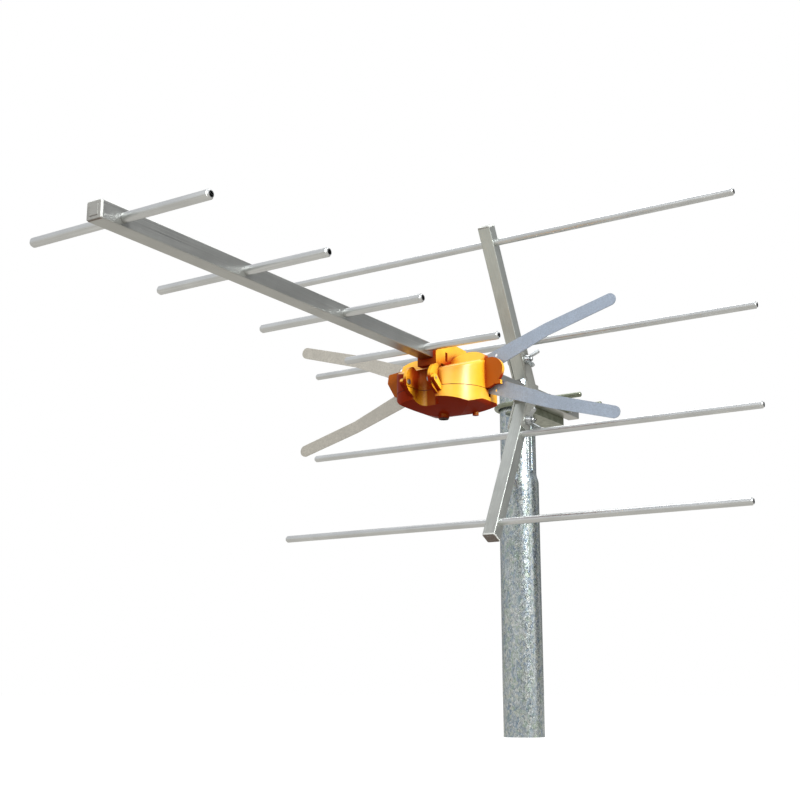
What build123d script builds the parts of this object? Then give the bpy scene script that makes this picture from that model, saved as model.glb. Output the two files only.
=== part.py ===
"""Small UHF Yagi television antenna on a swaged mast, in millimetres.

The mast's foot stands on the origin and its axis is +Z. The boom points along +X, to the directors.
Every piece of the antenna is drawn from the middle of the boom's front end, then carried to the mast.
"""

from build123d import *
import os
from math import cos, radians, sin, tan

# Mast: a tube whose top is swaged so that it fits inside the next section
MAST_RADIUS = 24.0
MAST_WALL = 2.0
NECK_RADIUS = 21.5
MAST_TOP = 423.0
SWAGE_LOW = 296.0
SWAGE_HIGH = 309.0
SWAGE_EASE = 6.0
FLUTE_RADIUS = 2.5
FLUTE_DEPTH = 0.8
FLUTE_ANGLES = (60.6, 74.6, 240.6, 254.6)

# Boom: square tube, its front end at BOOM_FRONT from the mast's axis
BOOM_SIDE = 15.0
BOOM_HALF = BOOM_SIDE / 2
TUBE_WALL = 1.3
TUBE_CORNER = 1.0
BOOM_LENGTH = 808.0
BOOM_FRONT = (745.0, 46.0, 390.0)

# Rods: directors through the boom, reflectors through the arms
ROD_RADIUS = 4.0
ROD_WALL = 0.9
ROD_MOUTH_RADIUS = 2.4
ROD_HOLE_GAP = 0.05
DIRECTOR_HALF = 91.5
DIRECTOR_FIRST = 21.5
DIRECTOR_PITCH = 141.0
DIRECTOR_COUNT = 4
REFLECTOR_HALF = 284.5

# Chevron: two arms that lean forward from a point on the boom's axis
CHEVRON_APEX = -680.6
ARM_LEAN = 27.35
ARM_START = 20.0
ARM_END = 199.0
PIVOT_ALONG = 40.5
INNER_ROD_ALONG = 60.0
OUTER_ROD_ALONG = 180.2

# Bracket: folded sheet that holds both arms by their sides
SHEET = 2.0
BRACKET_REACH = 54.5
BRACKET_WEB_START = 46.5
BRACKET_BAND_FRONT = 8.2

# Wing bolts and other fasteners
M5_RADIUS = 2.5
M6_RADIUS = 3.0
BOLT_GAP = 0.05
CLEARANCE = 0.3
WASHER_THICK = 1.0

# Mast clamp
LEG_SPREAD = 29.0
U_BOLT_END = 53.0
SPARE_HOLE_X = -788.0
JAW_HALF_LENGTH = 50.0
JAW_HALF_HEIGHT = 16.0
JAW_DEPTH = 32.0
JAW_SHEET = 2.0
JAW_HALF_ANGLE = 55.0
TOOTH_COUNT = 7
TOOTH_DEPTH = 1.4

# Dipole: butterfly plates in the plane across the boom, in the box that hangs under the boom
DIPOLE_X = -500.0
DIPOLE_Z = -21.5
PLATE_THICK = 1.5
PRONG_HALF_ROOT = 9.5
PRONG_HALF_KINK = 6.6
PRONG_HALF_TIP = 6.2
PRONG_ROOT = (24.0, 2.0)
PRONG_KINK = (116.0, 37.0)
PRONG_TIP = (185.0, 56.5)
PLATE_INNER_Y = 12.0
PLATE_HOLE = (58.0, 18.5)

# Dipole box, measured from the dipole plane (x) and from the boom's axis (z)
LOBE_CENTRE = (11.0, 13.5)
LOBE_RADIUS = 36.0
LOBE_INNER = 12.6
RECESS_ROUND = 8.0
LOBE_HALF = LOBE_CENTRE[1] + LOBE_RADIUS
RECESS_X = 33.0
BOX_REAR = -22.0
REAR_CORNER = 8.0
BOX_SPLIT = -38.0
ROOF_HIGH = -6.0
ROOF_KNEE_X = 6.0
ROOF_LOW = -20.5
LOBE_ROUND = 3.5
SHELL = 2.2
GASKET_THICK = 0.6
GASKET_INSET = 0.5
GASKET_GAP = 0.05
COVER_RIM = BOX_SPLIT - GASKET_THICK - GASKET_GAP
BOX_FLOOR = -62.0
BOWL_FRONT_RISE = 13.5
BOWL_REAR_RISE = 18.5
BOWL_END_RISE = 14.0

# End flanges of the box, round and flat like a D
FLANGE_BACK = 4.0
FLANGE_FRONT = 8.5
FLANGE_WIDEST = (69.3, -20.0)
FLANGE_LOW = (52.0, BOX_SPLIT)
FLANGE_HIGH = (54.0, -6.5)
LUG_LOW = (61.0, -35.2)
LUG_HIGH = (66.5, -31.0)
FLANGE_ANGLES = (
    (0.0, FLANGE_HIGH[1]),
    (-50.0, FLANGE_HIGH[1]),
    (-68.5, -8.5),
    (-69.8, -18.0),
    (-61.0, -33.5),
    (-50.0, BOX_SPLIT),
    (0.0, BOX_SPLIT),
)

# Shoulders on the box's roof, between the saddle and the flanges
SHOULDER_REAR = -2.0
SHOULDER_ROOT = -5.0
SHOULDER_TOP = 2.2
SHOULDER_END = -2.5

# Saddle of the box, round the boom
SADDLE_HALF = 10.5
SADDLE_FRONT = 39.0
SADDLE_REAR = -21.5
SADDLE_TOP = 14.0
SADDLE_FLOOR = -11.5
SADDLE_NOSE = 2.0
SADDLE_BROW_X = 2.0
SLOT_X = 18.0
SLOT_WIDTH = 4.5
SLOT_LOW = -7.3
SLOT_HIGH = 2.2
LEDGE_FRONT = 42.0
LEDGE_FLOOR = -14.5

# Ears of the box and the cover's hinge in them
EAR_OUTER = 16.0
EAR_CENTRE = (46.5, -31.0)
EAR_RADIUS = 15.0
EAR_TIP = (43.0, -49.0)
HINGE_X = 57.5
HINGE_Z = -33.5
HINGE_PIN_RADIUS = 1.5
KNUCKLE_RADIUS = 4.0
KNUCKLE_INNER = 16.7
KNUCKLE_OUTER = 20.2

# Inside the box
TERMINALS = ((17.5, -16.0), (17.5, -29.5))
BOARD_THICK = 1.6
CONNECTOR_RADIUS = 4.75
CONNECTOR_BEHIND = 6.5
SCREW_X = 14.0
SCREW_HEAD_RADIUS = 3.6
CABLE_RADIUS = 3.4
GROMMET_RADIUS = 4.4

# Holes and notches in the cover
CABLE_BOSS_END = -64.0
DRAIN = (-5.0, 30.0)
DRAIN_RADIUS = 1.2
NOTCH_START = 36.0
NOTCH_HALF = 2.2
NOTCH_FLOOR = -46.0


def box(low, high):
    size = [b - a for a, b in zip(low, high)]
    middle = [(a + b) / 2 for a, b in zip(low, high)]
    return Pos(*middle) * Box(*size)


def pin_y(x, z, radius, low, high):
    """Round bar along Y."""
    return Pos(x, (low + high) / 2, z) * Rot(90, 0, 0) * Cylinder(radius, high - low)


def pin_x(y, z, radius, low, high):
    """Round bar along X."""
    return Pos((low + high) / 2, y, z) * Rot(0, 90, 0) * Cylinder(radius, high - low)


def pin_z(x, y, radius, low, high):
    """Round bar along Z."""
    return Pos(x, y, (low + high) / 2) * Cylinder(radius, high - low)


def square_tube(length):
    """Square tube along -X from the origin, its long corners rounded."""
    outer = RectangleRounded(BOOM_SIDE, BOOM_SIDE, TUBE_CORNER)
    inner_side = BOOM_SIDE - 2 * TUBE_WALL
    wall = outer - Rectangle(inner_side, inner_side)
    return extrude(Plane.YZ * wall, -length)


def on_arm(side, shape):
    """Carry a shape from arm space, where the arm runs along +Z from the apex, to its place.

    side is 1 for the upper arm and -1 for the lower one.
    """
    if side < 0:
        shape = mirror(shape, Plane.XY)
    return Pos(CHEVRON_APEX, 0, 0) * Rot(0, side * ARM_LEAN, 0) * shape


def hex_prism(across_flats, height):
    return extrude(RegularPolygon(across_flats / 2, 6, major_radius=False), height)


# Mast ---------------------------------------------------------------------------------------------


def mast_outline(shrink):
    wide = MAST_RADIUS - shrink
    narrow = NECK_RADIUS - shrink
    swage = Bezier(
        (wide, SWAGE_LOW),
        (wide, SWAGE_LOW + SWAGE_EASE),
        (narrow, SWAGE_HIGH - SWAGE_EASE),
        (narrow, SWAGE_HIGH),
    )
    below = Polyline((0, 0), (wide, 0), (wide, SWAGE_LOW))
    above = Polyline((narrow, SWAGE_HIGH), (narrow, MAST_TOP), (0, MAST_TOP), (0, 0))
    outline = Wire([*below.edges(), swage, *above.edges()])
    return make_face(Plane.XZ * outline)


def mast_tube():
    tube = revolve(mast_outline(0), Axis.Z) - revolve(mast_outline(MAST_WALL), Axis.Z)
    reach = NECK_RADIUS + FLUTE_RADIUS - FLUTE_DEPTH
    flute_start = SWAGE_HIGH + 3
    for angle in FLUTE_ANGLES:
        x = reach * cos(radians(angle))
        y = reach * sin(radians(angle))
        tube -= pin_z(x, y, FLUTE_RADIUS, flute_start, MAST_TOP + 1)
        tube -= Pos(x, y, flute_start) * Sphere(FLUTE_RADIUS)
    return tube


# Boom and rods ------------------------------------------------------------------------------------


def director_stations():
    return [-(DIRECTOR_FIRST + i * DIRECTOR_PITCH) for i in range(DIRECTOR_COUNT)]


def leg_stations():
    return [-BOOM_FRONT[0] + LEG_SPREAD, -BOOM_FRONT[0] - LEG_SPREAD]


def boom_tube():
    tube = square_tube(BOOM_LENGTH)
    for x in director_stations():
        tube -= pin_y(x, 0, ROD_RADIUS + ROD_HOLE_GAP, -BOOM_SIDE, BOOM_SIDE)
    for x in leg_stations():
        tube -= pin_y(x, 0, M6_RADIUS + CLEARANCE, -BOOM_SIDE, BOOM_SIDE)
    tube -= pin_y(SPARE_HOLE_X, 0, M6_RADIUS + CLEARANCE, -BOOM_SIDE, BOOM_SIDE)
    tube -= pin_y(CHEVRON_APEX, 0, M5_RADIUS + BOLT_GAP, -BOOM_SIDE, BOOM_SIDE)
    tube -= pin_z(DIPOLE_X + SCREW_X, 0, 1.7, -BOOM_SIDE, 0)
    return tube


def end_plug(head_thick, body_length):
    """Plastic plug for a square tube, its head at x = 0 to head_thick and its body behind."""
    head = extrude(Plane.YZ * RectangleRounded(BOOM_SIDE, BOOM_SIDE, TUBE_CORNER + 0.6), head_thick)
    head = fillet(head.edges().filter_by(Axis.X, reverse=True).group_by(Axis.X)[-1], 0.8)
    side = BOOM_SIDE - 2 * TUBE_WALL - 0.2
    body = box((-body_length, -side / 2, -side / 2), (0, side / 2, side / 2))
    hollow_half = side / 2 - 1.6
    hollow = box((-body_length, -hollow_half, -hollow_half), (-1.0, hollow_half, hollow_half))
    pad = 4.2
    raised = box((head_thick, -pad, -pad), (head_thick + 0.4, pad, pad))
    return head + body + raised - hollow


def rod(half):
    """Round tube along Y whose ends are rolled in to a smaller mouth."""
    inner = ROD_RADIUS - ROD_WALL
    roll = 1.6
    with_end = [
        (0, inner),
        (half - roll - 1, inner),
        (half, ROD_MOUTH_RADIUS),
        (half, ROD_MOUTH_RADIUS + 0.5),
    ]
    start = (half - roll, ROD_RADIUS)
    lines = Polyline(*with_end)
    shoulder = RadiusArc(with_end[-1], start, roll)
    close = Polyline(start, (0, ROD_RADIUS), (0, inner))
    face = make_face([lines, shoulder, close])
    half_rod = revolve(face, Axis.X)
    whole = half_rod + mirror(half_rod, Plane.YZ)
    return Rot(0, 0, 90) * whole


# Reflector ----------------------------------------------------------------------------------------


def arm_tube(side):
    length = ARM_END - ARM_START
    tube = Pos(0, 0, ARM_END) * Rot(0, -90, 0) * square_tube(length)
    for along in (INNER_ROD_ALONG, OUTER_ROD_ALONG):
        tube -= pin_y(0, along, ROD_RADIUS + ROD_HOLE_GAP, -BOOM_SIDE, BOOM_SIDE)
    tube -= pin_y(0, PIVOT_ALONG, M5_RADIUS + BOLT_GAP, -BOOM_SIDE, BOOM_SIDE)
    return on_arm(side, tube)


def arm_cap(side):
    plug = Pos(0, 0, ARM_END) * Rot(0, -90, 0) * end_plug(2.0, 9.0)
    return on_arm(side, plug)


def reflector_rod(side, along):
    return on_arm(side, Pos(0, 0, along) * rod(REFLECTOR_HALF))


def reflector_bracket():
    """Two V-shaped cheeks joined by a web behind the outer part of each arm."""
    cheek_in = BOOM_HALF + 0.05
    cheek_out = cheek_in + SHEET
    rear_in = -BOOM_HALF - 0.1
    rear_out = rear_in - SHEET
    shape = None
    for side in (1, -1):
        for low, high in ((cheek_in, cheek_out), (-cheek_out, -cheek_in)):
            cheek = box((rear_out, low, 0), (BRACKET_BAND_FRONT, high, BRACKET_REACH))
            cheek = fillet(cheek.edges().filter_by(Axis.Y).group_by(Axis.Z)[-1].sort_by(Axis.X)[-1:], 4)
            placed = on_arm(side, cheek)
            shape = placed if shape is None else shape + placed
        web = box((rear_out, -cheek_out, BRACKET_WEB_START), (rear_in, cheek_out, BRACKET_REACH))
        shape += on_arm(side, web)
    for low, high in ((cheek_in, cheek_out), (-cheek_out, -cheek_in)):
        shape += box((CHEVRON_APEX - 12, low, -11), (CHEVRON_APEX + 16, high, 11))
    for side in (1, -1):
        hole = pin_y(0, PIVOT_ALONG, M5_RADIUS + BOLT_GAP, -BOOM_SIDE, BOOM_SIDE)
        shape -= on_arm(side, hole)
    shape -= pin_y(CHEVRON_APEX, 0, M5_RADIUS + BOLT_GAP, -BOOM_SIDE, BOOM_SIDE)
    return shape


def cheek_face():
    return BOOM_HALF + 0.05 + SHEET


def pan_bolt(radius, head_radius, head_height, length):
    """Pan-head bolt along +Y from y = 0, head below."""
    shank = pin_y(0, 0, radius, 0, length)
    head = Rot(90, 0, 0) * Cylinder(head_radius, head_height, align=(Align.CENTER, Align.CENTER, Align.MIN))
    head = fillet(head.edges().filter_by(GeomType.CIRCLE).sort_by(Axis.Y)[:1], head_height * 0.6)
    tip = shank.edges().filter_by(GeomType.CIRCLE).sort_by(Axis.Y)[-1:]
    return chamfer(tip, 0.6) + head


def pivot_point(side):
    forward = PIVOT_ALONG * sin(radians(ARM_LEAN))
    upward = PIVOT_ALONG * cos(radians(ARM_LEAN))
    return (CHEVRON_APEX + forward, 0, side * upward)


def arm_bolt(side):
    x, _, z = pivot_point(side)
    return Pos(x, -cheek_face(), z) * pan_bolt(M5_RADIUS, 5.2, 3.2, 2 * cheek_face() + 8.5)


def washer(inner, outer, thick):
    """Flat ring from y = 0 to y = thick."""
    return pin_y(0, 0, outer, 0, thick) - pin_y(0, 0, inner, -1, thick + 1)


def arm_washer(side):
    x, _, z = pivot_point(side)
    return Pos(x, cheek_face(), z) * washer(M5_RADIUS + BOLT_GAP, 5.2, WASHER_THICK)


def wing_nut():
    """Wing nut whose base stands on y = 0, its wings leaning out along +Y."""
    base_radius = 5.4
    base_height = 5.0
    wing_reach = 13.5
    wing_height = 13.0
    base = Pos(0, base_height / 2, 0) * Rot(-90, 0, 0) * Cone(base_radius, base_radius - 1.3, base_height)
    root = (2.0, 1.0)
    tip_low = (wing_reach - 1.5, wing_height - 5.0)
    tip_high = (wing_reach - 4.0, wing_height - 0.6)
    front = Polyline(root, (base_radius - 0.6, 0.8), tip_low)
    tip = ThreePointArc(tip_low, (wing_reach, wing_height - 1.0), tip_high)
    back = Polyline(tip_high, (4.0, base_height), root)
    wing = extrude(make_face([front, tip, back]), 1.3, both=True)
    nut = base + wing + mirror(wing, Plane.YZ)
    return nut - pin_y(0, 0, M5_RADIUS + BOLT_GAP, -1, wing_height + 2)


def placed_wing_nut(side, turn):
    x, _, z = pivot_point(side)
    return Pos(x, cheek_face() + WASHER_THICK, z) * Rot(0, turn, 0) * wing_nut()


def boom_bolt():
    length = 2 * cheek_face() + 6.5
    return Pos(CHEVRON_APEX, -cheek_face(), 0) * pan_bolt(M5_RADIUS, 5.2, 3.2, length)


def lock_nut(across_flats, height, bore):
    """Hexagon nut from y = 0 to y = height, with a turned collar."""
    nut = Rot(-90, 0, 0) * hex_prism(across_flats, height)
    collar = pin_y(0, 0, across_flats / 2 - 0.4, height, height + 0.8)
    return nut + collar - pin_y(0, 0, bore, -1, height + 2)


def boom_nut():
    return Pos(CHEVRON_APEX, cheek_face(), 0) * lock_nut(8.0, 4.0, M5_RADIUS + BOLT_GAP)


# Mast clamp ---------------------------------------------------------------------------------------


def clamp_centre():
    """The mast's axis in the antenna's own space, at the boom's height."""
    return (-BOOM_FRONT[0], -BOOM_FRONT[1])


def mast_u_bolt():
    x, y = clamp_centre()
    inside = LEG_SPREAD - M6_RADIUS
    bend_y = y - NECK_RADIUS + inside - 0.1
    bend = (x, bend_y - LEG_SPREAD)
    start = (x + LEG_SPREAD, U_BOLT_END)
    end = (x - LEG_SPREAD, U_BOLT_END)
    path = Wire([
        Line(start, (start[0], bend_y)),
        ThreePointArc((start[0], bend_y), bend, (end[0], bend_y)),
        Line((end[0], bend_y), end),
    ])
    profile = Plane(origin=(*start, 0), z_dir=(0, -1, 0)) * Circle(M6_RADIUS)
    bar = sweep(profile, path=path)
    tips = bar.edges().filter_by(GeomType.CIRCLE).group_by(Axis.Y)[-1]
    return chamfer(tips, 0.8)


def jaw_flange():
    """Flange outline in the plane of the boom: a deep V with toothed edges, open towards the mast."""
    x, y = clamp_centre()
    slope = tan(radians(JAW_HALF_ANGLE))
    apex_y = y + (NECK_RADIUS + 0.06) / sin(radians(JAW_HALF_ANGLE))
    tip_y = -BOOM_HALF - JAW_DEPTH
    edge = apex_y - tip_y
    step = edge / TOOTH_COUNT
    points = []
    for i in range(TOOTH_COUNT):
        depth = tip_y + i * step
        points.append((slope * (apex_y - depth), depth))
        valley = depth + step * 0.75
        points.append((slope * (apex_y - valley) + TOOTH_DEPTH * cos(radians(JAW_HALF_ANGLE)), valley))
    right = [(x + dx, dy) for dx, dy in points]
    left = [(x - dx, dy) for dx, dy in reversed(points)]
    outer = [(x - JAW_HALF_LENGTH, tip_y + 6), (x - JAW_HALF_LENGTH, -BOOM_HALF)]
    outer += [(x + JAW_HALF_LENGTH, -BOOM_HALF), (x + JAW_HALF_LENGTH, tip_y + 6)]
    corner_left = (x - JAW_HALF_LENGTH + 6, tip_y)
    corner_right = (x + JAW_HALF_LENGTH - 6, tip_y)
    apex = (x, apex_y)
    return make_face(Polyline(*right, apex, *left, corner_left, *outer, corner_right, close=True))


def mast_jaw():
    x, _ = clamp_centre()
    flange = extrude(jaw_flange(), JAW_SHEET)
    jaw = Pos(0, 0, JAW_HALF_HEIGHT - JAW_SHEET) * flange + Pos(0, 0, -JAW_HALF_HEIGHT) * flange
    jaw += box(
        (x - JAW_HALF_LENGTH, -BOOM_HALF - JAW_SHEET, -JAW_HALF_HEIGHT),
        (x + JAW_HALF_LENGTH, -BOOM_HALF, JAW_HALF_HEIGHT),
    )
    for leg in leg_stations():
        jaw -= pin_y(leg, 0, M6_RADIUS + CLEARANCE, -BOOM_SIDE, 0)
    return jaw


def u_bolt_washers():
    ring = washer(M6_RADIUS + BOLT_GAP, 6.0, 1.2)
    return [Pos(x, BOOM_HALF, 0) * ring for x in leg_stations()]


def u_bolt_nuts():
    nut = lock_nut(10.0, 5.0, M6_RADIUS + BOLT_GAP)
    return [Pos(x, BOOM_HALF + 1.2, 0) * nut for x in leg_stations()]


# Dipole -------------------------------------------------------------------------------------------


def dipole_plate():
    """Butterfly plate for +Y, from z = 0 at the dipole's axis, in the plane across the boom."""
    wings = None
    for side in (1, -1):
        root, kink, tip = [(y, side * z) for y, z in (PRONG_ROOT, PRONG_KINK, PRONG_TIP)]
        inner = make_hull([
            *(Pos(*root) * Circle(PRONG_HALF_ROOT)).edges(),
            *(Pos(*kink) * Circle(PRONG_HALF_KINK)).edges(),
        ])
        outer = make_hull([
            *(Pos(*kink) * Circle(PRONG_HALF_KINK)).edges(),
            *(Pos(*tip) * Circle(PRONG_HALF_TIP)).edges(),
        ])
        prong = inner + outer
        wings = prong if wings is None else wings + prong
    root_width = PRONG_ROOT[0] - PLATE_INNER_Y
    root_height = 2 * PRONG_HALF_ROOT + 4
    wings += Pos(PLATE_INNER_Y + root_width / 2, 0) * Rectangle(root_width, root_height)
    wings -= Pos((PLATE_INNER_Y - 20) / 2, 0) * Rectangle(PLATE_INNER_Y + 20, 4 * PRONG_HALF_ROOT)
    for side in (1, -1):
        wings -= Pos(PLATE_HOLE[0], side * PLATE_HOLE[1]) * Circle(1.7)
    for y, z in TERMINALS:
        wings -= Pos(y, z - DIPOLE_Z) * Circle(1.6)
    return extrude(Plane.YZ * wings, PLATE_THICK / 2, both=True)


def dipole_side(side):
    plate = dipole_plate()
    if side < 0:
        plate = mirror(plate, Plane.XZ)
    return Pos(DIPOLE_X, 0, DIPOLE_Z) * plate


def box_plan(shrink):
    """Plan of the dipole box: two lobes that are quarter discs, with a recess between their fronts."""
    lobe = LOBE_RADIUS - shrink
    centre_x, centre_y = LOBE_CENTRE
    wall = centre_y + lobe
    nose = centre_x + lobe
    inner = LOBE_INNER + shrink
    recess = RECESS_X - shrink
    rear = BOX_REAR + shrink
    corner = REAR_CORNER - shrink
    bend = RECESS_ROUND + shrink
    slant = sin(radians(45))
    bend_middle = (recess + bend * (1 - slant), inner - bend * (1 - slant))
    lobe_middle = (centre_x + lobe * slant, centre_y + lobe * slant)
    corner_middle = (rear + corner * (1 - slant), wall - corner * (1 - slant))
    lobe_start = max(inner, centre_y)
    half = Wire([
        Line((recess, 0), (recess, inner - bend)),
        ThreePointArc((recess, inner - bend), bend_middle, (recess + bend, inner)),
        Line((recess + bend, inner), (nose, inner)),
        *([Line((nose, inner), (nose, lobe_start))] if inner < centre_y else []),
        ThreePointArc((nose, lobe_start), lobe_middle, (centre_x, wall)),
        Line((centre_x, wall), (rear + corner, wall)),
        ThreePointArc((rear + corner, wall), corner_middle, (rear, wall - corner)),
        Line((rear, wall - corner), (rear, 0)),
    ])
    other = mirror(half, Plane.XZ)
    return make_face([*half.edges(), *other.edges()])


def across(profile, half_width):
    """Prism along Y from a closed profile in x and z."""
    return extrude(make_face(Plane.XZ * profile), half_width, both=True)


def roof_prism(lower):
    """Everything under the box's roof, which falls from the flanges to the front of the lobes."""
    nose = LOBE_CENTRE[0] + LOBE_RADIUS
    high = ROOF_HIGH - lower
    low = ROOF_LOW - lower
    base = BOX_SPLIT - 2
    outline = [(BOX_REAR, base), (nose, base), (nose, low), (ROOF_KNEE_X, high), (BOX_REAR, high)]
    return across(Polyline(*outline, close=True), LOBE_HALF)


def housing_outer(shrink):
    body = Pos(0, 0, BOX_SPLIT) * extrude(box_plan(shrink), ROOF_HIGH - BOX_SPLIT)
    body = body & roof_prism(shrink)
    curved = body.edges().filter_by(GeomType.ELLIPSE)
    rims = [edge for edge in curved if abs(edge.center().Y) > LOBE_CENTRE[1]]
    return fillet(rims, LOBE_ROUND - shrink)


def housing_flange():
    """Plate across the boom that ends round at +Y, with a small lug under it, and angular at -Y."""
    (wide_y, wide_z), high_z = FLANGE_WIDEST, FLANGE_HIGH[1]
    round_end = Wire([
        Line((0, BOX_SPLIT), FLANGE_LOW),
        ThreePointArc(FLANGE_LOW, (wide_y - 4.5, wide_z - 10.5), FLANGE_WIDEST),
        ThreePointArc(FLANGE_WIDEST, (wide_y - 3.8, wide_z + 9.5), FLANGE_HIGH),
        Line(FLANGE_HIGH, (0, high_z)),
        Line((0, high_z), (0, BOX_SPLIT)),
    ])
    angular_end = Polygon(*FLANGE_ANGLES, align=None)
    outer_corners = angular_end.vertices().sort_by(Axis.X)[:3]
    angular_end = fillet(outer_corners, 2.5)
    thick = FLANGE_FRONT - FLANGE_BACK
    plate = extrude(Plane.YZ * make_face(round_end), thick) + extrude(Plane.YZ * angular_end, thick)
    plate += box((0, *LUG_LOW), (thick, *LUG_HIGH))
    return Pos(FLANGE_BACK, 0, 0) * plate


def shoulders():
    """Ridge on the roof that arches from the saddle to each flange, its front face sloping back."""
    foot = ROOF_HIGH - 4
    end = LOBE_HALF - 1
    front = [(FLANGE_FRONT + 6, foot), (FLANGE_FRONT, SHOULDER_TOP)]
    rear = [(SHOULDER_REAR, SHOULDER_TOP), (SHOULDER_REAR, foot)]
    ridge = across(Polyline(*front, *rear, close=True), end)
    arch = Wire([
        Line((0, foot), (0, SHOULDER_ROOT)),
        Line((0, SHOULDER_ROOT), (SADDLE_HALF, SHOULDER_ROOT)),
        ThreePointArc((SADDLE_HALF, SHOULDER_ROOT), (28.0, SHOULDER_TOP), (end, SHOULDER_END)),
        Line((end, SHOULDER_END), (end, foot)),
        Line((end, foot), (0, foot)),
    ])
    right = extrude(Plane.YZ * make_face(arch), 20, both=True)
    return ridge & (right + mirror(right, Plane.XZ))


def saddle():
    """Channel round the sides of the boom, closed over the top at the back, with a ledge in front."""
    front = [(SADDLE_FRONT, SADDLE_FLOOR), (SADDLE_FRONT, SADDLE_NOSE)]
    rear = [(SADDLE_REAR, SADDLE_TOP - 1), (SADDLE_REAR, SADDLE_FLOOR)]
    body = across(Polyline(*front, (SADDLE_BROW_X, SADDLE_TOP), *rear, close=True), SADDLE_HALF)
    body = fillet(body.edges().filter_by(Axis.Y).group_by(Axis.Z)[-1], 5)
    ledge_half = SADDLE_HALF + 0.5
    return body + box((RECESS_X - 1, -ledge_half, LEDGE_FLOOR), (LEDGE_FRONT, ledge_half, 0))


def saddle_slots():
    """Narrow upright slots through both cheeks of the saddle."""
    return box((SLOT_X, -SADDLE_HALF - 1, SLOT_LOW), (SLOT_X + SLOT_WIDTH, SADDLE_HALF + 1, SLOT_HIGH))


def ear_outline():
    """Round ear in x and z, with a straight lower edge down to its tip."""
    x, z = EAR_CENTRE
    bottom = (x + EAR_RADIUS * cos(radians(-50)), z + EAR_RADIUS * sin(radians(-50)))
    top = (x, z + EAR_RADIUS)
    return Wire([
        Line((RECESS_X + 6, z + EAR_RADIUS - 4), top),
        ThreePointArc(top, (x + EAR_RADIUS, z), bottom),
        Line(bottom, EAR_TIP),
        Line(EAR_TIP, (RECESS_X + 6, EAR_TIP[1] + 2)),
        Line((RECESS_X + 6, EAR_TIP[1] + 2), (RECESS_X + 6, z + EAR_RADIUS - 4)),
    ])


def ear_plate(side, low, high):
    """The part of one ear between two heights."""
    middle = side * (LOBE_INNER + EAR_OUTER) / 2
    plate = Pos(0, middle, 0) * across(ear_outline(), (EAR_OUTER - LOBE_INNER) / 2)
    return plate & box((0, -60, low), (90, 60, high))


def dipole_housing():
    shell = housing_outer(0) + housing_flange() + shoulders()
    shell -= housing_outer(SHELL) + Pos(0, 0, BOX_SPLIT - 1) * extrude(box_plan(SHELL), 2)
    shell += saddle()
    for side in (1, -1):
        shell += ear_plate(side, BOX_SPLIT, 0)
    slot_half = PLATE_THICK / 2 + 0.05
    wall_half = LOBE_HALF - 1
    shell += box((-slot_half - 3, -wall_half, BOX_SPLIT), (-slot_half, wall_half, ROOF_HIGH - 1))
    boom_gap = BOOM_HALF + 0.05
    shell -= box((-100, -boom_gap, -boom_gap), (100, boom_gap, boom_gap))
    shell -= box((3, -boom_gap, 0), (100, boom_gap, 40))
    shell -= saddle_slots()
    for side in (1, -1):
        low, high = sorted((side * 11.0, side * (LOBE_HALF + 5)))
        shell -= box((-slot_half, low, BOX_SPLIT - 1), (slot_half, high, 2.5))
        for y, z in TERMINALS:
            shell -= pin_x(side * y, z, 1.25, -12, 0)
    shell -= pin_y(HINGE_X, HINGE_Z, HINGE_PIN_RADIUS + 0.02, -30, 30)
    shell -= pin_z(SCREW_X, 0, 2.1, BOX_SPLIT, 0)
    shell -= pin_z(SCREW_X, 0, SCREW_HEAD_RADIUS + 0.4, BOX_SPLIT, SADDLE_FLOOR)
    return Pos(DIPOLE_X, 0, 0) * shell


def bowl_side(low):
    """Side view of the bowl: its floor runs up to the front and, more steeply, to the rear."""
    nose = LOBE_CENTRE[0] + LOBE_RADIUS + 3
    rear = BOX_REAR - 1
    keel = (5.0, low + 0.3)
    return Wire([
        Line((nose, COVER_RIM), (nose, low + BOWL_FRONT_RISE)),
        ThreePointArc((nose, low + BOWL_FRONT_RISE), (30.0, low + 6.3), keel),
        ThreePointArc(keel, (-13.0, low + 6.5), (rear, low + BOWL_REAR_RISE)),
        Line((rear, low + BOWL_REAR_RISE), (rear, COVER_RIM)),
        Line((rear, COVER_RIM), (nose, COVER_RIM)),
    ])


def bowl_front(low):
    """Front view of the bowl: full at +Y, with a rounded bilge, and swept up to the rim at -Y."""
    end = LOBE_HALF + 1
    swept = (-end, COVER_RIM - 0.5)
    turn = (-36.0, low + 12.0)
    bilge = (end - 7, low + 7.5)
    return Wire([
        Line((-end, COVER_RIM), swept),
        ThreePointArc(swept, (-45.0, low + 18.5), turn),
        ThreePointArc(turn, (-18.0, low + 3.0), (0, low)),
        ThreePointArc((0, low), (end / 2, low + 1.6), bilge),
        ThreePointArc(bilge, (end - 2.5, low + 10.2), (end, low + BOWL_END_RISE)),
        Line((end, low + BOWL_END_RISE), (end, COVER_RIM)),
        Line((end, COVER_RIM), (-end, COVER_RIM)),
    ])


def cover_block(shrink, lift):
    """Solid bowl: the box's plan between the bowl's side view and its front view."""
    low = BOX_FLOOR + lift
    plan = Pos(0, 0, BOX_FLOOR) * extrude(box_plan(shrink), COVER_RIM - BOX_FLOOR)
    bowl = plan & across(bowl_side(low), 2 * LOBE_HALF)
    return bowl & extrude(Plane.YZ * make_face(bowl_front(low)), 2 * LOBE_HALF, both=True)


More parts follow.
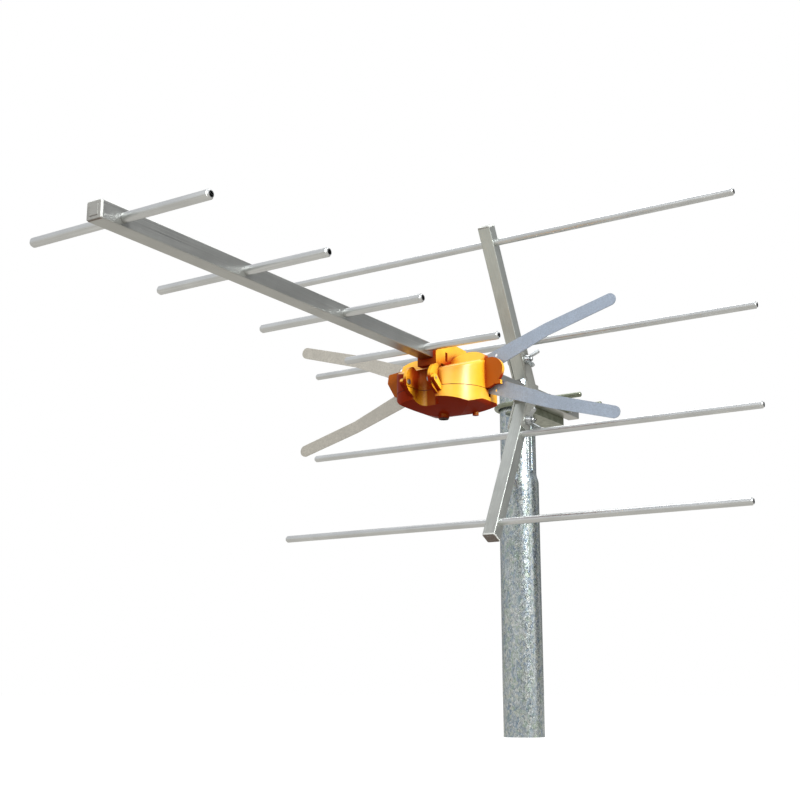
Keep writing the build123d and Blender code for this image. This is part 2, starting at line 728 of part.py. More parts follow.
def hinge_arm(side):
    """Arm that rises from the cover's front on the outer side of an ear, and the tip under that ear."""
    nose = LOBE_CENTRE[0] + LOBE_RADIUS
    knuckle = Pos(HINGE_X, HINGE_Z) * Circle(KNUCKLE_RADIUS)
    foot = Pos(nose + 0.5, COVER_RIM - 2.7) * Circle(2.4)
    outline = make_hull([*knuckle.edges(), *foot.edges()])
    thick = KNUCKLE_OUTER - KNUCKLE_INNER
    arm = Pos(0, KNUCKLE_OUTER, 0) * extrude(Plane.XZ * outline, thick)
    arm -= box((0, 0, COVER_RIM), (nose + 0.4, 60, 0))
    if side < 0:
        arm = mirror(arm, Plane.XZ)
    tip = ear_plate(side, -80, COVER_RIM)
    low, high = sorted((side * (EAR_OUTER - 0.5), side * (KNUCKLE_INNER + 0.5)))
    bridge = box((nose - 3, low, COVER_RIM - 3.2), (nose + 5, high, COVER_RIM))
    return arm + tip + bridge


def cable_x():
    return board_front() + CONNECTOR_BEHIND


def dipole_cover():
    """Bowl that closes the box from below and swings down on two arms at the front."""
    bowl = cover_block(0, 0) + hinge_arm(1) + hinge_arm(-1)
    bowl += pin_z(cable_x(), 0, GROMMET_RADIUS + 1.3, CABLE_BOSS_END, BOX_FLOOR + 8)
    bowl += pin_z(*DRAIN, DRAIN_RADIUS + 2, BOX_FLOOR, BOX_FLOOR + 8)
    bowl -= cover_block(SHELL, SHELL + 0.2)
    bowl -= pin_z(cable_x(), 0, GROMMET_RADIUS, BOX_FLOOR - 5, BOX_FLOOR + 12)
    bowl -= pin_z(*DRAIN, DRAIN_RADIUS, BOX_FLOOR - 5, BOX_FLOOR + 12)
    for side in (1, -1):
        low, high = sorted((side * NOTCH_START, side * (LOBE_HALF + 5)))
        bowl -= box((-NOTCH_HALF, low, NOTCH_FLOOR), (NOTCH_HALF, high, COVER_RIM + 1))
    bowl -= pin_y(HINGE_X, HINGE_Z, HINGE_PIN_RADIUS + 0.05, -30, 30)
    return Pos(DIPOLE_X, 0, 0) * bowl


def cover_gasket():
    band = box_plan(GASKET_INSET) - box_plan(SHELL)
    ring = Pos(0, 0, BOX_SPLIT - GASKET_THICK) * extrude(band, GASKET_THICK)
    ring -= box((-NOTCH_HALF, -LOBE_HALF, BOX_SPLIT - 5), (NOTCH_HALF, LOBE_HALF, BOX_SPLIT + 5))
    return [Pos(DIPOLE_X, 0, 0) * strip for strip in ring.solids()]


def cover_hinge_pins():
    """Headed pin through each ear and the arm beside it."""
    head_inner = LOBE_INNER - 1.6
    pin = pin_y(HINGE_X, HINGE_Z, HINGE_PIN_RADIUS, head_inner, KNUCKLE_OUTER + 0.6)
    pin += pin_y(HINGE_X, HINGE_Z, 2.6, head_inner, LOBE_INNER)
    right = Pos(DIPOLE_X, 0, 0) * pin
    return [right, mirror(right, Plane.XZ)]


def cable_grommet():
    """Rubber bush in the cover's cable boss, with a lip below it."""
    x = DIPOLE_X + cable_x()
    low = CABLE_BOSS_END
    bush = pin_z(x, 0, GROMMET_RADIUS - 0.05, low - 1.2, BOX_FLOOR + 6)
    lip = pin_z(x, 0, GROMMET_RADIUS + 0.6, low - 1.2, low - 0.05)
    return bush + lip - pin_z(x, 0, CABLE_RADIUS, low - 5, BOX_FLOOR + 12)


def board_front():
    return PLATE_THICK / 2 + BOARD_THICK


def balun_board():
    board = box((PLATE_THICK / 2, -23, -36.5), (board_front(), 23, -12.0))
    for side in (1, -1):
        for y, z in TERMINALS:
            board -= pin_x(side * y, z, 1.6, 0, 6)
    return Pos(DIPOLE_X, 0, 0) * board


def balun_core():
    """Binocular ferrite core with a few turns of wire through its two holes."""
    front = board_front()
    core = box((front, -6.5, -23), (front + 7, 6.5, -13.5))
    for y in (-3, 3):
        core -= pin_z(front + 3.5, y, 1.6, -30, -5)
    return Pos(DIPOLE_X, 0, 0) * core


def balun_winding():
    """Copper turns through the core, drawn as three closed loops."""
    front = board_front()
    loops = []
    for offset in (-0.9, 0, 0.9):
        outer = box((front + 3.2 + offset, -3.4, -24.2), (front + 3.8 + offset, 3.4, -12.3))
        inner = box((front + 3.0 + offset, -2.6, -23.4), (front + 4.0 + offset, 2.6, -13.1))
        loops.append(Pos(DIPOLE_X, 0, 0) * (outer - inner))
    return loops


def coax_connector():
    """F socket that points down from the lower edge of the board."""
    front = board_front()
    middle = cable_x()
    body = box((front, -6, -36), (front + 13, 6, -26))
    barrel = pin_z(middle, 0, CONNECTOR_RADIUS, -50, -36)
    flange = pin_z(middle, 0, 6.2, -37.5, -36)
    bore = pin_z(middle, 0, 2.6, -51, -38)
    contact = pin_z(middle, 0, 0.6, -49, -37.5)
    return Pos(DIPOLE_X, 0, 0) * (body + barrel + flange - bore + contact)


def terminal_screws():
    """Four screws from the board through the plates into the housing's cross wall."""
    front = board_front()
    screws = []
    for side in (1, -1):
        for y, z in TERMINALS:
            shank = pin_x(side * y, z, 1.2, -3.6, front)
            head = pin_x(side * y, z, 2.9, front, front + 2.0)
            cross = box((front + 1.2, side * y - 2, z - 0.3), (front + 2.2, side * y + 2, z + 0.3))
            screws.append(Pos(DIPOLE_X, 0, 0) * (shank + head - cross))
    return screws


def box_screw():
    """Self-tapping screw from inside the box up into the boom."""
    roof = SADDLE_FLOOR
    x = DIPOLE_X + SCREW_X
    shank = pin_z(x, 0, 1.65, roof, -BOOM_HALF + 4)
    head = pin_z(x, 0, SCREW_HEAD_RADIUS, roof - 2.4, roof)
    return shank + head


# Output -------------------------------------------------------------------------------------------


def antenna_parts():
    parts = {"boom_tube": boom_tube(), "boom_front_cap": end_plug(2.0, 10.0)}
    for number, x in enumerate(director_stations(), 1):
        parts[f"director_{number}"] = Pos(x, 0, 0) * rod(DIRECTOR_HALF)
    reflectors = ((1, OUTER_ROD_ALONG), (1, INNER_ROD_ALONG), (-1, INNER_ROD_ALONG), (-1, OUTER_ROD_ALONG))
    for number, (side, along) in enumerate(reflectors, 1):
        parts[f"reflector_rod_{number}"] = reflector_rod(side, along)
    for name, side, turn in (("upper", 1, 55), ("lower", -1, -60)):
        parts[f"{name}_arm_tube"] = arm_tube(side)
        parts[f"{name}_arm_cap"] = arm_cap(side)
        parts[f"{name}_arm_bolt"] = arm_bolt(side)
        parts[f"{name}_arm_washer"] = arm_washer(side)
        parts[f"{name}_wing_nut"] = placed_wing_nut(side, turn)
    parts["reflector_bracket"] = reflector_bracket()
    parts["bracket_bolt"] = boom_bolt()
    parts["bracket_nut"] = boom_nut()
    parts["mast_u_bolt"] = mast_u_bolt()
    parts["mast_jaw"] = mast_jaw()
    parts["u_bolt_washers"] = u_bolt_washers()
    parts["u_bolt_nuts"] = u_bolt_nuts()
    parts["dipole_right"] = dipole_side(1)
    parts["dipole_left"] = dipole_side(-1)
    parts["dipole_housing"] = dipole_housing()
    parts["dipole_cover"] = dipole_cover()
    parts["cover_gasket"] = cover_gasket()
    parts["cover_hinge_pins"] = cover_hinge_pins()
    parts["cable_grommet"] = cable_grommet()
    parts["balun_board"] = balun_board()
    parts["balun_core"] = balun_core()
    parts["balun_winding"] = balun_winding()
    parts["coax_connector"] = coax_connector()
    parts["terminal_screws"] = terminal_screws()
    parts["box_screw"] = box_screw()
    return parts


def write(name, shape):
    if isinstance(shape, list):
        shape = Compound(children=shape)
    export_step(shape, f"parts/{name}.step")


os.makedirs("parts", exist_ok=True)
write("mast_tube", mast_tube())
to_mast = Location(BOOM_FRONT)
for part_name, part_shape in antenna_parts().items():
    if isinstance(part_shape, list):
        write(part_name, [solid.moved(to_mast) for solid in part_shape])
    else:
        write(part_name, part_shape.moved(to_mast))
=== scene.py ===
"""The looks of a small UHF television antenna on a galvanised mast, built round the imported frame."""

import math
import bpy
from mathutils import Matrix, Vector


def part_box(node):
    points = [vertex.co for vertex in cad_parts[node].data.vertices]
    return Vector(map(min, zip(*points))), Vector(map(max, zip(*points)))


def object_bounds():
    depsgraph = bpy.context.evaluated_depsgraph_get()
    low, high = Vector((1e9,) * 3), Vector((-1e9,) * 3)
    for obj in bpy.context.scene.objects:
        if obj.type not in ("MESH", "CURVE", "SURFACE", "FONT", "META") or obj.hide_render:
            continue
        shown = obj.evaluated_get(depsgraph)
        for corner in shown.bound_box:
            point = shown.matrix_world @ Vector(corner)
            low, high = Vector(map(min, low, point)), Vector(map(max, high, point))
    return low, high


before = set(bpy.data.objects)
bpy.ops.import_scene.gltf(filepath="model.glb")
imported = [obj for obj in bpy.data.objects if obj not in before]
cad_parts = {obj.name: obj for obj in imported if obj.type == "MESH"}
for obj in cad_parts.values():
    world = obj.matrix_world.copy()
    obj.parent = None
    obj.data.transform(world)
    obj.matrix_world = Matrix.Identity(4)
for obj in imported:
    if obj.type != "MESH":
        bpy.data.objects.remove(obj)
cad_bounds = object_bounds()

# Camera, in metres in the frame: it looks up at the antenna from the front right
CAMERA_AT = Vector((1.3463, 0.6965, 0.0478))
CAMERA_VIEW = Vector((-0.8183, -0.5276, 0.2281))
CAMERA_LENS = 56.6
SENSOR_WIDTH = 36.0
CLIP_START = 0.01

# Round soft lights: where each stands from the middle of the antenna, its width, both in metres, its power
# in watts, and how strongly it shows in glossy surfaces
LIGHTS = {
    "key": ((0.70, 2.20, 1.15), 0.9, 78.0, 0.3),
    "fill": ((2.30, 0.60, 1.30), 1.4, 16.0, 1.0),
    "top": ((-0.8, -0.4, 2.2), 1.6, 20.0, 1.0),
}

# Studio: grey level of its walls by direction in degrees from +X towards +Y, its ceiling and its floor
STUDIO_WALLS = (
    (-180, 0.14), (-160, 0.30), (-120, 0.45), (-60, 0.80), (-15, 0.86), (30, 0.45), (82, 0.45), (94, 1.5),
    (101, 1.3), (108, 0.06), (137, 0.08), (148, 0.46), (164, 0.22), (180, 0.14),
)
CEILING = (0.80, 0.80, 0.824)
CEILING_RISE = (0.15, 0.85)
FLOOR_HALF = 30.0
FLOOR_BOUNCE = (0.20, 0.15, 0.125)
FLOOR_MIRRORED = (0.74, 0.71, 0.66)
FLOOR_SHADOWED = (0.3, 0.3, 0.3)
FLOOR_SEEN = 0.86

# Colours, linear
WHITE = (1.0, 1.0, 1.0)
BOOM_COLOUR = (0.46, 0.47, 0.45)
ROD_COLOUR = (0.64, 0.66, 0.66)
# The two dipole plates are one aluminium: the difference between these two colours is painted light and shade
RIGHT_PLATE_PAINTED_LIGHT_COLOUR = (0.40, 0.465, 0.555)
LEFT_PLATE_PAINTED_LIGHT_COLOUR = (0.58, 0.56, 0.50)
ARM_COLOUR = (0.59, 0.62, 0.585)
BRACKET_COLOUR = (0.47, 0.48, 0.44)
YELLOW = (1.0, 0.50, 0.018)
# Painted shade colour of the yellow plastic, also the tint of its flow lines and smears
PAINTED_SHADE_AND_FLOW_ORANGE = (0.30, 0.026, 0.004)
PLUG_COLOUR = (0.60, 0.63, 0.60)
FERRITE_COLOUR = (0.035, 0.034, 0.036)
RUBBER_COLOUR = (0.05, 0.014, 0.008)
RUBBER_DUST = (0.09, 0.03, 0.016)

# Painted light and shade on moulded plastic: the direction the painted light comes from and the cosines
# between which it turns to painted shade, then painted shade in recesses by how open the place is within a
# reach in metres, and near its underside by how far it stands above it
PAINTED_LIGHT_FROM = Vector((0.38, 0.66, 0.64)).normalized()
PAINTED_LIGHT_COSINES = (0.355, 0.52)
RECESS_SHADE_REACH = 0.03
RECESS_SHADE_OPENNESS = (0.55, 0.68)
UNDERSIDE_SHADE_HEIGHT = 0.012
# Reach in metres of the painted shade in the hollows of plated steel
HOLLOW_SHADE_REACH = 0.006
OPENNESS_SAMPLES = 8

# Streaks of a drawn tube, in cycles per metre along it and across it
SQUARE_TUBE_STREAKS = (14.0, 1500.0)
ROD_STREAKS = (12.0, 1400.0)

# Sockets of Blender's Mix node, which has a set for each data type under the same names
MIX_FACTOR = 0
MIX_VECTORS = (4, 5)
MIX_COLOURS = (6, 7)
VECTOR_RESULT = 1
COLOUR_RESULT = 2


# Node helpers -------------------------------------------------------------------------------------


def opaque(colour):
    """The colour with full alpha."""
    return (*colour, 1.0)


def node_adder(tree):
    """One function that adds a node and sets or links its inputs, and one that joins two sockets."""

    def add(kind, values=None, **settings):
        node = tree.nodes.new(kind)
        for key, value in settings.items():
            setattr(node, key, value)
        for key, value in (values or {}).items():
            if isinstance(value, bpy.types.NodeSocket):
                tree.links.new(value, node.inputs[key])
            else:
                node.inputs[key].default_value = value
        return node

    def join(output, socket):
        tree.links.new(output, socket)

    return add, join


def new_material(name):
    """A new material with its Principled shader, and the functions that add and join nodes in it."""
    material = bpy.data.materials.new(name)
    material.use_nodes = True
    add, join = node_adder(material.node_tree)
    return material, material.node_tree.nodes["Principled BSDF"], add, join


def object_point(add, scale=(1.0, 1.0, 1.0)):
    """The shaded point in metres, stretched by scale."""
    coordinates = add("ShaderNodeTexCoord")
    mapping = add("ShaderNodeMapping", {"Vector": coordinates.outputs["Object"], "Scale": scale})
    return mapping.outputs["Vector"]


def noise(add, point, scale, detail=3.0, roughness=0.5):
    """Noise from 0 to 1 with scale bumps per metre."""
    values = {"Vector": point, "Scale": scale, "Detail": detail, "Roughness": roughness}
    return add("ShaderNodeTexNoise", values).outputs["Fac"]


def remap(add, value, low, high, new_low, new_high):
    """A value moved from one range to another and held inside the new one."""
    values = {"Value": value, "From Min": low, "From Max": high, "To Min": new_low, "To Max": new_high}
    return add("ShaderNodeMapRange", values).outputs["Result"]


def product(add, first, second):
    """Two values multiplied."""
    return add("ShaderNodeMath", {0: first, 1: second}, operation="MULTIPLY").outputs["Value"]


def mix_colours(add, factor, first, second):
    """The first colour where the factor is 0 and the second where it is 1; both are sockets or triples."""
    values = {MIX_FACTOR: factor}
    for socket, colour in zip(MIX_COLOURS, (first, second)):
        values[socket] = colour if isinstance(colour, bpy.types.NodeSocket) else opaque(colour)
    return add("ShaderNodeMix", values, data_type="RGBA").outputs[COLOUR_RESULT]


def bump(add, height, strength, distance):
    """Relief of the given distance in metres."""
    values = {"Height": height, "Strength": strength, "Distance": distance}
    return add("ShaderNodeBump", values).outputs["Normal"]


def shade(colour, factor):
    """A lighter or darker colour."""
    return tuple(min(1.0, channel * factor) for channel in colour)


def openness(add, reach):
    """1 where nothing stands near the surface, towards 0 in corners and recesses."""
    occlusion = add("ShaderNodeAmbientOcclusion", {"Distance": reach}, samples=OPENNESS_SAMPLES)
    return occlusion.outputs["AO"]


# Materials ----------------------------------------------------------------------------------------


def drawn_aluminium(name, colour, axis, streaks, roughness, tilt=0.0):
    """Satin tube along an axis, tilted about Y: long fine die lines, cloudy tone, small dark pits."""
    material, shader, add, join = new_material(name)
    point = object_point(add)
    along, across = streaks
    squeeze = tuple(along if letter == axis else across for letter in "XYZ")
    turned = add("ShaderNodeMapping", {"Vector": point, "Rotation": (0.0, tilt, 0.0)})
    stretched = add("ShaderNodeMapping", {"Vector": turned.outputs["Vector"], "Scale": squeeze})
    lines = noise(add, stretched.outputs["Vector"], 1.0, detail=4.0, roughness=0.65)
    clouds = noise(add, point, 38.0, detail=2.0)
    pits = noise(add, point, 620.0, detail=2.0, roughness=0.7)
    pale = mix_colours(add, remap(add, lines, 0.3, 0.7, 0.0, 1.0), shade(colour, 0.86), shade(colour, 1.12))
    cloudy = mix_colours(add, remap(add, clouds, 0.35, 0.7, 0.0, 0.45), pale, shade(colour, 0.78))
    specks = mix_colours(add, remap(add, pits, 0.70, 0.76, 0.0, 0.55), cloudy, shade(colour, 0.45))
    join(specks, shader.inputs["Base Color"])
    shader.inputs["Metallic"].default_value = 1.0
    join(remap(add, lines, 0.25, 0.75, roughness - 0.07, roughness + 0.1), shader.inputs["Roughness"])
    join(bump(add, lines, 0.25, 0.00012), shader.inputs["Normal"])
    return material


def sandy_sheet(name, colour, roughness=0.5):
    """Blasted sheet: fine even grain with a faint larger mottle."""
    material, shader, add, join = new_material(name)
    point = object_point(add)
    grain = noise(add, point, 950.0, detail=2.0, roughness=0.6)
    mottle = noise(add, point, 60.0, detail=3.0)
    fine = mix_colours(add, remap(add, grain, 0.35, 0.65, 0.0, 1.0), shade(colour, 0.84), shade(colour, 1.14))
    broad = mix_colours(add, remap(add, mottle, 0.35, 0.7, 0.0, 0.35), fine, shade(colour, 0.8))
    join(broad, shader.inputs["Base Color"])
    shader.inputs["Metallic"].default_value = 0.85
    join(remap(add, grain, 0.3, 0.7, roughness - 0.08, roughness + 0.12), shader.inputs["Roughness"])
    join(bump(add, grain, 0.3, 0.00015), shader.inputs["Normal"])
    return material


def crystals(add, point, scale):
    """Cells with three independent values each, as the outputs Red, Green and Blue."""
    cells = add("ShaderNodeTexVoronoi", {"Vector": point, "Scale": scale})
    return add("ShaderNodeSeparateColor", {"Color": cells.outputs["Color"]}).outputs


def galvanised(name):
    """Hot-dip zinc: crystals of blue, green and grey with dull and bright faces, and long drips."""
    material, shader, add, join = new_material(name)
    point = object_point(add, (1.0, 1.0, 0.62))
    warp = add("ShaderNodeTexNoise", {"Vector": point, "Scale": 130.0, "Detail": 2.0})
    between = {MIX_FACTOR: 0.006, MIX_VECTORS[0]: point, MIX_VECTORS[1]: warp.outputs["Color"]}
    moved = add("ShaderNodeMix", between, data_type="VECTOR").outputs[VECTOR_RESULT]
    large = crystals(add, moved, 360.0)
    small = crystals(add, moved, 900.0)
    cool = mix_colours(add, large["Red"], (0.24, 0.32, 0.40), (0.52, 0.55, 0.50))
    green = mix_colours(add, remap(add, large["Green"], 0.55, 1.0, 0.0, 0.8), cool, (0.33, 0.42, 0.33))
    flecks = mix_colours(add, remap(add, small["Blue"], 0.6, 1.0, 0.0, 0.75), green, (0.70, 0.74, 0.76))
    dull = mix_colours(add, remap(add, small["Red"], 0.72, 1.0, 0.0, 0.7), flecks, (0.13, 0.15, 0.19))
    drips = noise(add, object_point(add, (160.0, 160.0, 9.0)), 1.0, detail=3.0)
    streaked = mix_colours(add, remap(add, drips, 0.45, 0.75, 0.0, 0.35), dull, (0.62, 0.65, 0.68))
    join(streaked, shader.inputs["Base Color"])
    shader.inputs["Metallic"].default_value = 0.9
    join(remap(add, small["Green"], 0.0, 1.0, 0.17, 0.38), shader.inputs["Roughness"])
    facets = add("ShaderNodeMath", {0: large["Blue"], 1: small["Green"]}, operation="ADD")
    join(bump(add, facets.outputs["Value"], 0.12, 0.0002), shader.inputs["Normal"])
    return material


def zinc(name, tint, dull, roughness, stain=0.5):
    """Plated steel: cloudy passivation colour, painted shade in its hollows, with bright scuffs."""
    material, shader, add, join = new_material(name)
    point = object_point(add)
    clouds = noise(add, point, 110.0, detail=4.0, roughness=0.6)
    scuffs = noise(add, object_point(add, (900.0, 260.0, 900.0)), 1.0, detail=3.0)
    base = mix_colours(add, remap(add, clouds, 0.38, 0.68, 0.0, stain), tint, dull)
    worn = mix_colours(add, remap(add, scuffs, 0.62, 0.72, 0.0, 0.4), base, (0.8, 0.81, 0.8))
    # Painted shade: darker where other surfaces stand near
    painted_hollow_shade = remap(add, openness(add, HOLLOW_SHADE_REACH), 0.3, 0.8, 0.7, 0.0)
    deep = mix_colours(add, painted_hollow_shade, worn, shade(dull, 0.35))
    join(deep, shader.inputs["Base Color"])
    shader.inputs["Metallic"].default_value = 0.95
    join(remap(add, scuffs, 0.3, 0.7, roughness - 0.08, roughness + 0.14), shader.inputs["Roughness"])
    join(bump(add, scuffs, 0.15, 0.0001), shader.inputs["Normal"])
    return material


def painted_light_share(add, underside):
    """Share of painted light: 1 where the plastic faces the painted light, 0 for painted shade where it turns
    away, lies in a recess or is near its underside.
    """
    geometry = add("ShaderNodeNewGeometry")
    # Painted light: follows the direction the surface faces in the world
    sides = {0: geometry.outputs["True Normal"], 1: tuple(PAINTED_LIGHT_FROM)}
    facing = add("ShaderNodeVectorMath", sides, operation="DOT_PRODUCT").outputs["Value"]
    place = add("ShaderNodeSeparateXYZ", {"Vector": object_point(add)})
    turned = remap(add, facing, *PAINTED_LIGHT_COSINES, 0.0, 1.0)
    # Painted shade in recesses
    clear = remap(add, openness(add, RECESS_SHADE_REACH), *RECESS_SHADE_OPENNESS, 0.0, 1.0)
    # Painted shade near the underside
    raised = remap(add, place.outputs["Z"], underside, underside + UNDERSIDE_SHADE_HEIGHT, 0.0, 1.0)
    return product(add, turned, product(add, clear, raised))


def moulded(name, colour, deep, roughness, gloss, underside=0.0):
    """Moulded plastic: painted shade, deep and matt, where it turns away from the painted light, lies in a
    recess or is near its underside, with faint flow lines and a fine skin.
    """
    material, shader, add, join = new_material(name)
    flow = noise(add, object_point(add, (30.0, 55.0, 90.0)), 1.0, detail=2.0)
    skin = noise(add, object_point(add), 1500.0, detail=2.0)
    smears = noise(add, object_point(add), 75.0, detail=3.0)
    share = painted_light_share(add, underside)
    # Painted light and shade: the plastic's own colour where the share is 1, deep for painted shade where it
    # is 0
    painted_light_colour = mix_colours(add, share, deep, colour)
    even = mix_colours(add, remap(add, flow, 0.35, 0.7, 0.0, 0.10), painted_light_colour, deep)
    clouded = mix_colours(add, remap(add, smears, 0.5, 0.75, 0.0, 0.12), even, shade(deep, 1.6))
    join(clouded, shader.inputs["Base Color"])
    join(remap(add, smears, 0.35, 0.7, roughness, roughness + 0.12), shader.inputs["Roughness"])
    join(remap(add, share, 0.0, 1.0, 0.02, gloss), shader.inputs["Specular IOR Level"])
    join(bump(add, skin, 0.06, 0.00005), shader.inputs["Normal"])
    return material


def rubber(name, dark, dusty):
    """Soft rubber: matt, a little dust in patches."""
    material, shader, add, join = new_material(name)
    grain = noise(add, object_point(add), 700.0, detail=3.0)
    dust = noise(add, object_point(add), 60.0, detail=3.0)
    base = mix_colours(add, remap(add, dust, 0.4, 0.75, 0.0, 0.5), dark, dusty)
    join(base, shader.inputs["Base Color"])
    join(remap(add, grain, 0.3, 0.7, 0.55, 0.8), shader.inputs["Roughness"])
    join(bump(add, grain, 0.25, 0.0001), shader.inputs["Normal"])
    return material


def laminate(name):
    """Circuit board: green mask with the weave of the glass under it."""
    material, shader, add, join = new_material(name)
    weave = add("ShaderNodeTexChecker", {"Vector": object_point(add), "Scale": 1600.0})
    blot = noise(add, object_point(add), 120.0, detail=3.0)
    glass = mix_colours(add, weave.outputs["Fac"], (0.02, 0.11, 0.05), (0.03, 0.15, 0.06))
    mask = mix_colours(add, remap(add, blot, 0.45, 0.7, 0.0, 0.4), glass, (0.05, 0.20, 0.09))
    join(mask, shader.inputs["Base Color"])
    join(remap(add, blot, 0.3, 0.7, 0.25, 0.4), shader.inputs["Roughness"])
    join(bump(add, weave.outputs["Fac"], 0.05, 0.00005), shader.inputs["Normal"])
    return material


def enamelled_wire(name):
    """Copper under a clear enamel, uneven in tone."""
    material, shader, add, join = new_material(name)
    tone = noise(add, object_point(add), 900.0, detail=3.0)
    base = mix_colours(add, remap(add, tone, 0.35, 0.65, 0.0, 1.0), (0.45, 0.12, 0.03), (0.75, 0.28, 0.09))
    join(base, shader.inputs["Base Color"])
    shader.inputs["Metallic"].default_value = 0.9
    join(remap(add, tone, 0.3, 0.7, 0.2, 0.35), shader.inputs["Roughness"])
    return material


def stage_material():
    """White to the camera, pale in the metal's reflections, and only a little warm light on undersides."""
    material, shader, add, join = new_material("stage_floor")
    shader.inputs["Base Color"].default_value = opaque(FLOOR_BOUNCE)
    shader.inputs["Roughness"].default_value = 0.9
    mirrored = add("ShaderNodeEmission", {"Color": opaque(FLOOR_MIRRORED), "Strength": 1.0})
    seen = add("ShaderNodeEmission", {"Color": opaque(WHITE), "Strength": FLOOR_SEEN})
    shadowed = add("ShaderNodeBsdfDiffuse", {"Color": opaque(FLOOR_SHADOWED)})
    bright = add("ShaderNodeAddShader", {0: seen.outputs["Emission"], 1: shadowed.outputs["BSDF"]})
    ray = add("ShaderNodeLightPath").outputs
    glossy = {0: ray["Is Glossy Ray"], 1: shader.outputs["BSDF"], 2: mirrored.outputs["Emission"]}
    bounced = add("ShaderNodeMixShader", glossy)
    direct = {0: ray["Is Camera Ray"], 1: bounced.outputs["Shader"], 2: bright.outputs["Shader"]}
    choice = add("ShaderNodeMixShader", direct)
    join(choice.outputs["Shader"], material.node_tree.nodes["Material Output"].inputs["Surface"])
    return material


def arm_lean():
    """How far the upper arm leans back from upright, in radians."""
    low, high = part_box("upper_arm_tube")
    return math.atan2(high[0] - low[0], high[2] - low[2])


def dress_nodes():
    """Give every CAD node its finish."""
    lean = arm_lean()
    boom = drawn_aluminium("boom_satin", BOOM_COLOUR, "X", SQUARE_TUBE_STREAKS, 0.34)
    upper_arm = drawn_aluminium("upper_arm_satin", ARM_COLOUR, "Z", SQUARE_TUBE_STREAKS, 0.36, -lean)
    lower_arm = drawn_aluminium("lower_arm_satin", ARM_COLOUR, "Z", SQUARE_TUBE_STREAKS, 0.36, lean)
    rods = drawn_aluminium("rod_satin", ROD_COLOUR, "Y", ROD_STREAKS, 0.33)
    bright = zinc("bright_zinc", (0.50, 0.53, 0.54), (0.24, 0.26, 0.27), 0.28)
    passivated = zinc("passivated_zinc", (0.30, 0.33, 0.25), (0.14, 0.16, 0.11), 0.34, stain=0.8)
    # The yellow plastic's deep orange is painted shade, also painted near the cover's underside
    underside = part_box("dipole_cover")[0][2]
    yellow = moulded("yellow_moulding", YELLOW, PAINTED_SHADE_AND_FLOW_ORANGE, 0.28, 0.8, underside)
    # The plug's grey second colour is its painted shade
    plug = moulded("pale_plug", PLUG_COLOUR, (0.35, 0.36, 0.34), 0.42, 0.5)
    looks = {
        "mast_tube": galvanised("mast_zinc"),
        "boom_tube": boom,
        "upper_arm_tube": upper_arm,
        "lower_arm_tube": lower_arm,
        # The two blades differ only by painted light and shade
        "dipole_right": sandy_sheet("blade_right", RIGHT_PLATE_PAINTED_LIGHT_COLOUR),
        "dipole_left": sandy_sheet("blade_left", LEFT_PLATE_PAINTED_LIGHT_COLOUR),
        "dipole_housing": yellow,
        "dipole_cover": yellow,
        "cover_gasket": rubber("gasket_rubber", RUBBER_COLOUR, RUBBER_DUST),
        "cable_grommet": rubber("grommet_rubber", RUBBER_COLOUR, RUBBER_DUST),
        "balun_board": laminate("board_mask"),
        # The ferrite's second colour is its painted shade
        "balun_core": moulded("ferrite", FERRITE_COLOUR, (0.01, 0.01, 0.01), 0.5, 0.4),
        "balun_winding": enamelled_wire("winding_copper"),
        "coax_connector": zinc("nickel", (0.62, 0.60, 0.54), (0.45, 0.43, 0.38), 0.22),
        "reflector_bracket": sandy_sheet("bracket_sheet", BRACKET_COLOUR, 0.42),
    }
    looks.update(dict.fromkeys(("boom_front_cap", "upper_arm_cap", "lower_arm_cap"), plug))
    looks.update(dict.fromkeys(("mast_u_bolt", "mast_jaw", "u_bolt_washers", "u_bolt_nuts"), passivated))
    for name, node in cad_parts.items():
        is_rod = name.startswith(("director_", "reflector_rod_"))
        node.data.materials.clear()
        node.data.materials.append(rods if is_rod else looks.get(name, bright))


# Stage --------------------------------------------------------------------------------------------


def look_along(obj, at, direction):
    """Stand a camera or a light at a place and aim it."""
    obj.location = at
    obj.rotation_euler = direction.to_track_quat("-Z", "Y").to_euler()


def make_camera():
    """The camera that looks up at the antenna."""
    data = bpy.data.cameras.new("camera")
    data.lens = CAMERA_LENS
    data.sensor_width = SENSOR_WIDTH
    data.clip_start = CLIP_START
    camera = bpy.data.objects.new("camera", data)
    bpy.context.collection.objects.link(camera)
    look_along(camera, CAMERA_AT, CAMERA_VIEW)
    bpy.context.scene.camera = camera


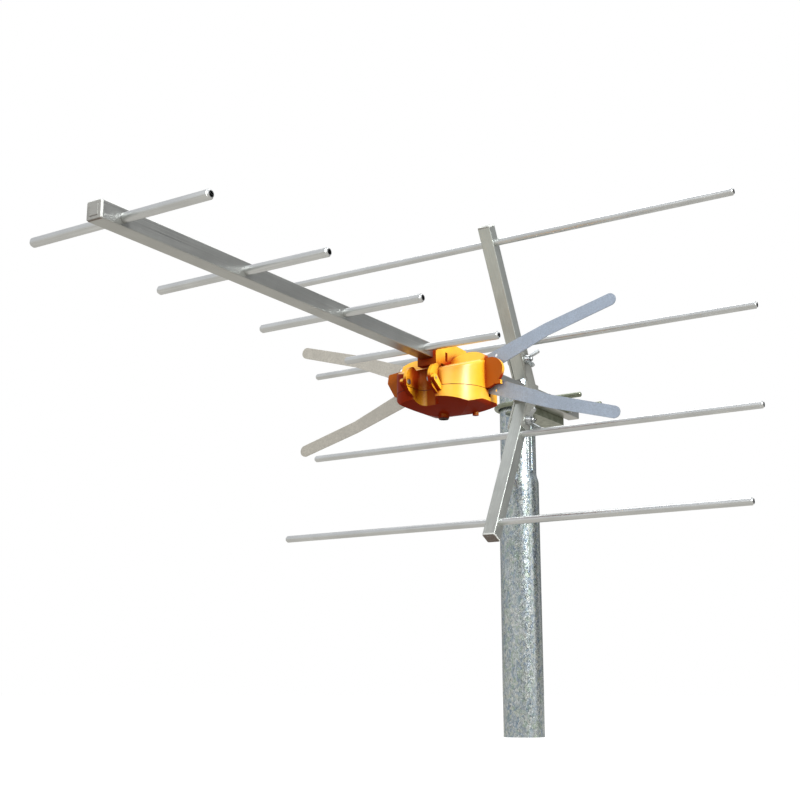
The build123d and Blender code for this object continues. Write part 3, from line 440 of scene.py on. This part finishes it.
def area_light(name, middle, offset, size, power, glint):
    """Round soft light at an offset from the antenna's middle, aimed at it."""
    data = bpy.data.lights.new(name, "AREA")
    data.shape = "DISK"
    data.size = size
    data.energy = power
    data.specular_factor = glint
    light = bpy.data.objects.new(name, data)
    bpy.context.collection.objects.link(light)
    look_along(light, middle + offset, -offset)


def make_floor():
    """Wide floor at the mast's foot."""
    half = FLOOR_HALF
    corners = [(-half, -half, 0), (half, -half, 0), (half, half, 0), (-half, half, 0)]
    mesh = bpy.data.meshes.new("floor")
    mesh.from_pydata(corners, [], [(0, 1, 2, 3)])
    floor = bpy.data.objects.new("floor", mesh)
    bpy.context.collection.objects.link(floor)
    mesh.materials.append(stage_material())


def make_world():
    """White to the camera. In reflections it is a studio with bright and dark walls all round."""
    world = bpy.data.worlds.new("studio")
    world.use_nodes = True
    background = world.node_tree.nodes["Background"]
    add, join = node_adder(world.node_tree)
    sight = add("ShaderNodeSeparateXYZ", {"Vector": add("ShaderNodeTexCoord").outputs["Generated"]}).outputs
    around = add("ShaderNodeMath", {0: sight["Y"], 1: sight["X"]}, operation="ARCTAN2").outputs["Value"]
    walls = add("ShaderNodeValToRGB", {"Fac": remap(add, around, -math.pi, math.pi, 0.0, 1.0)})
    ramp = walls.color_ramp
    for place, (degrees, level) in enumerate(STUDIO_WALLS):
        stop = ramp.elements[place] if place < len(ramp.elements) else ramp.elements.new(1.0)
        stop.position = (degrees + 180) / 360
        stop.color = opaque((level, level, level))
    height = remap(add, sight["Z"], *CEILING_RISE, 0.0, 1.0)
    mirrored = mix_colours(add, height, walls.outputs["Color"], CEILING)
    is_seen = add("ShaderNodeLightPath").outputs["Is Camera Ray"]
    join(mix_colours(add, is_seen, mirrored, WHITE), background.inputs["Color"])
    background.inputs["Strength"].default_value = 1.0
    bpy.context.scene.world = world


def make_stage():
    """Camera, world, floor and lights."""
    low, high = cad_bounds
    middle = (Vector(low) + Vector(high)) / 2
    make_camera()
    make_world()
    make_floor()
    for name, (offset, size, power, glint) in LIGHTS.items():
        area_light(name, middle, Vector(offset), size, power, glint)
    bpy.context.scene.view_settings.view_transform = "Standard"


dress_nodes()
make_stage()
